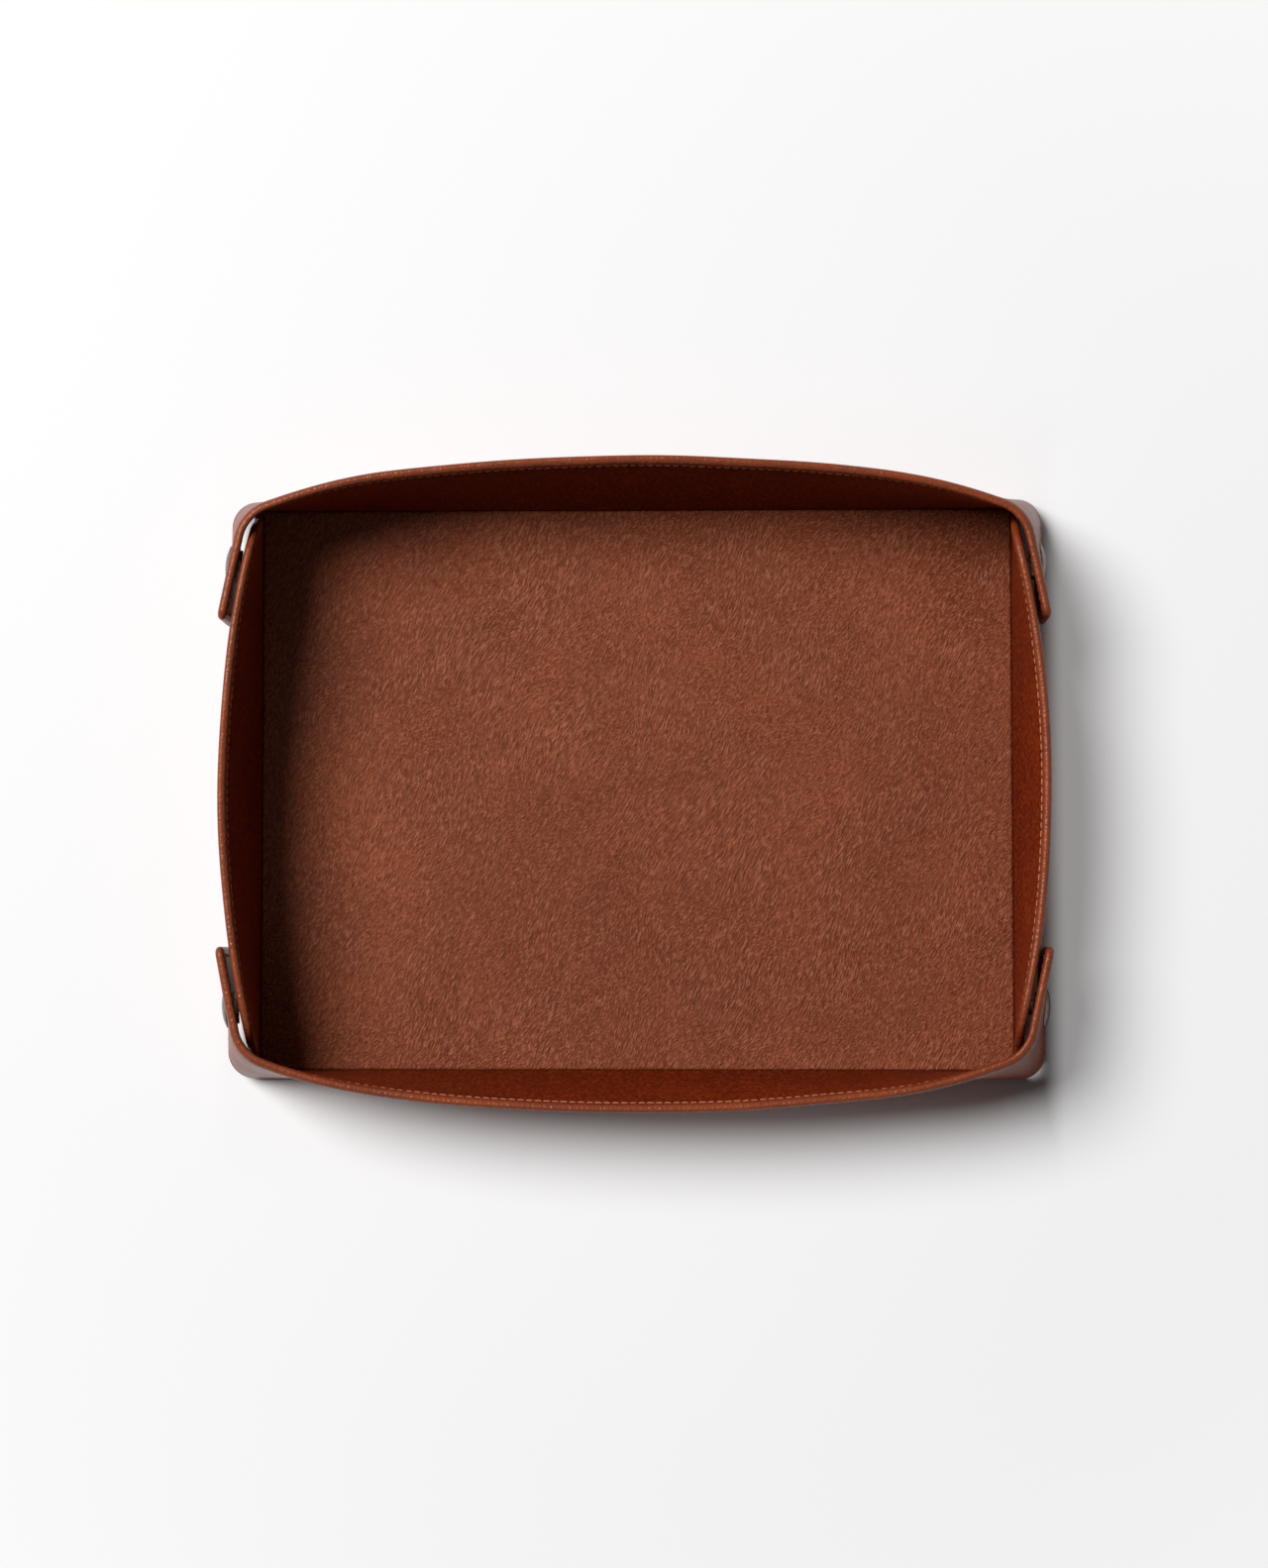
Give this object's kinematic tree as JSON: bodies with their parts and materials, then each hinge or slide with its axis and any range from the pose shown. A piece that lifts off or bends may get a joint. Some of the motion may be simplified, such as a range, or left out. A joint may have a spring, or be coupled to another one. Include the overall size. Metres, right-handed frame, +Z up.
{
  "type": "valet tray",
  "caption": "Shallow rectangular leather tray with four bowed walls, held up at the corners by tabs that snap onto the side walls and swing out so that the tray folds flat.",
  "frame": {"origin": "on the table, under the middle of the tray", "axes": "+X along the long side, +Y to the back, +Z up"},
  "size_m": [0.2646, 0.2054, 0.042],
  "materials": {
    "leather": "smooth semi-gloss reddish brown",
    "lining": "fine grained reddish brown",
    "board": "plain grey board, not seen",
    "snap_metal": "polished gunmetal"
  },
  "bodies": {
    "floor": {"floor_leather": "leather", "floor_board": "board", "floor_lining": "lining", "front_fold": "leather", "back_fold": "leather", "left_fold": "leather", "right_fold": "leather"},
    "front_wall": {"front_wall_leather": "leather", "front_wall_board": "board", "front_wall_lining": "lining", "front_left_bend": "leather", "front_right_bend": "leather"},
    "back_wall": {"back_wall_leather": "leather", "back_wall_board": "board", "back_wall_lining": "lining", "back_left_bend": "leather", "back_right_bend": "leather"},
    "left_wall": {"left_wall_leather": "leather", "left_wall_board": "board", "left_wall_lining": "lining", "front_left_snap_stud": "snap_metal", "front_left_snap_eyelet": "snap_metal", "back_left_snap_stud": "snap_metal", "back_left_snap_eyelet": "snap_metal"},
    "right_wall": {"right_wall_leather": "leather", "right_wall_board": "board", "right_wall_lining": "lining", "front_right_snap_stud": "snap_metal", "front_right_snap_eyelet": "snap_metal", "back_right_snap_stud": "snap_metal", "back_right_snap_eyelet": "snap_metal"},
    "front_left_tab": {"front_left_tab_leather": "leather", "front_left_tab_board": "board", "front_left_tab_lining": "lining", "front_left_snap_cap": "snap_metal", "front_left_snap_socket": "snap_metal"},
    "front_right_tab": {"front_right_tab_leather": "leather", "front_right_tab_board": "board", "front_right_tab_lining": "lining", "front_right_snap_cap": "snap_metal", "front_right_snap_socket": "snap_metal"},
    "back_left_tab": {"back_left_tab_leather": "leather", "back_left_tab_board": "board", "back_left_tab_lining": "lining", "back_left_snap_cap": "snap_metal", "back_left_snap_socket": "snap_metal"},
    "back_right_tab": {"back_right_tab_leather": "leather", "back_right_tab_board": "board", "back_right_tab_lining": "lining", "back_right_snap_cap": "snap_metal", "back_right_snap_socket": "snap_metal"}
  },
  "joints": [
    {"name": "front_wall_fold", "type": "hinge", "parent": "floor", "child": "front_wall", "pos_m": [0, -0.09259, 0.00151], "axis": [1, 0, 0], "range_deg": [0, 76], "deforming": ["front_fold"]},
    {"name": "back_wall_fold", "type": "hinge", "parent": "floor", "child": "back_wall", "pos_m": [0, 0.09259, 0.00151], "axis": [-1, 0, 0], "range_deg": [0, 76], "deforming": ["back_fold"]},
    {"name": "left_wall_fold", "type": "hinge", "parent": "floor", "child": "left_wall", "pos_m": [-0.12359, 0, 0.00151], "axis": [0, -1, 0], "range_deg": [0, 68.4], "deforming": ["left_fold"]},
    {"name": "right_wall_fold", "type": "hinge", "parent": "floor", "child": "right_wall", "pos_m": [0.12359, 0, 0.00151], "axis": [0, 1, 0], "range_deg": [0, 68.4], "deforming": ["right_fold"]},
    {"name": "front_left_tab_swing", "type": "hinge", "parent": "front_wall", "child": "front_left_tab", "pos_m": [-0.12956, -0.09136, 0.0044], "axis": [0.206, 0.1961, 0.9587], "range_deg": [0, 98.8], "deforming": ["front_left_bend"]},
    {"name": "front_right_tab_swing", "type": "hinge", "parent": "front_wall", "child": "front_right_tab", "pos_m": [0.12956, -0.09136, 0.0044], "axis": [0.206, -0.1961, -0.9587], "range_deg": [0, 98.8], "deforming": ["front_right_bend"]},
    {"name": "back_left_tab_swing", "type": "hinge", "parent": "back_wall", "child": "back_left_tab", "pos_m": [-0.12956, 0.09136, 0.0044], "axis": [-0.206, 0.1961, -0.9587], "range_deg": [0, 98.8], "deforming": ["back_left_bend"]},
    {"name": "back_right_tab_swing", "type": "hinge", "parent": "back_wall", "child": "back_right_tab", "pos_m": [0.12956, 0.09136, 0.0044], "axis": [-0.206, -0.1961, 0.9587], "range_deg": [0, 98.8], "deforming": ["back_right_bend"]}
  ],
  "couplings": [
    {"joint": "back_wall_fold", "follows": "front_wall_fold", "ratio": 1},
    {"joint": "left_wall_fold", "follows": "front_wall_fold", "ratio": 0.9},
    {"joint": "right_wall_fold", "follows": "front_wall_fold", "ratio": 0.9},
    {"joint": "front_left_tab_swing", "follows": "front_wall_fold", "ratio": 1.3},
    {"joint": "front_right_tab_swing", "follows": "front_wall_fold", "ratio": 1.3},
    {"joint": "back_left_tab_swing", "follows": "front_wall_fold", "ratio": 1.3},
    {"joint": "back_right_tab_swing", "follows": "front_wall_fold", "ratio": 1.3}
  ]
}
